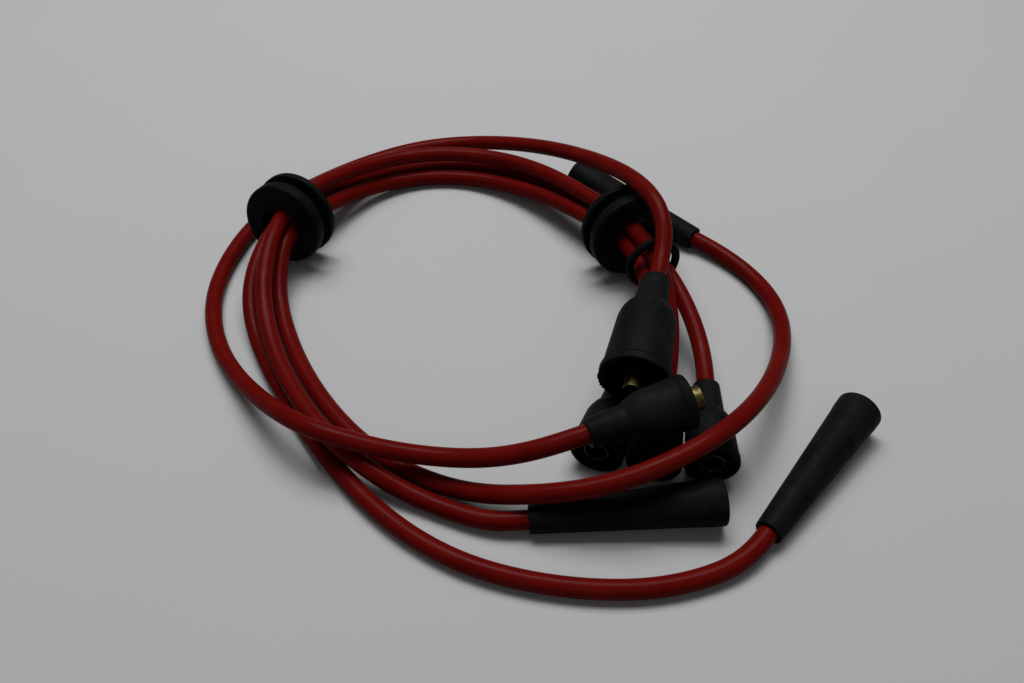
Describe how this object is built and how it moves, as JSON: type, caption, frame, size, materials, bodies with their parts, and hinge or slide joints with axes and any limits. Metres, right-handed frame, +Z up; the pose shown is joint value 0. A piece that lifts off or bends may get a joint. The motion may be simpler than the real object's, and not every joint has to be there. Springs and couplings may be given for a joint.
{
  "type": "spark plug wire set",
  "caption": "Ignition lead set: red plug leads and a coil lead with black rubber boots and brass terminals, held by round grommets and a ring, laid out in loops.",
  "frame": {"origin": "on the table, under the middle of the box round the boots, terminals, grommets and ring; the leads don't count", "axes": "+X along the longest side of that box, from the left grommet towards the plug boots; +Y away from the front of the layout; +Z up from the table"},
  "size_m": [0.2675, 0.2589, 0.0472],
  "materials": {
    "lead_rubber": "semi-gloss red silicone jacket",
    "boot_rubber": "matt black moulded rubber with a faint sheen",
    "grommet_rubber": "matt black moulded rubber",
    "brass": "dull stamped brass",
    "spring_steel": "drawn spring wire"
  },
  "bodies": {
    "root": {"plug_lead_1": "lead_rubber", "plug_lead_2": "lead_rubber", "plug_lead_3": "lead_rubber", "coil_lead": "lead_rubber", "distributor_1_boot": "boot_rubber", "distributor_1_terminal": "brass", "distributor_2_boot": "boot_rubber", "distributor_2_terminal": "brass", "distributor_3_boot": "boot_rubber", "distributor_3_terminal": "brass", "centre_tower_boot": "boot_rubber", "centre_tower_terminal": "brass", "coil_boot": "boot_rubber", "coil_terminal": "brass", "plug_1_boot": "boot_rubber", "plug_1_terminal": "brass", "plug_1_clip": "spring_steel", "plug_2_boot": "boot_rubber", "plug_2_terminal": "brass", "plug_2_clip": "spring_steel", "plug_3_boot": "boot_rubber", "plug_3_terminal": "brass", "plug_3_clip": "spring_steel", "grommet_left": "grommet_rubber", "grommet_right": "grommet_rubber", "lead_ring": "boot_rubber"}
  },
  "joints": []
}
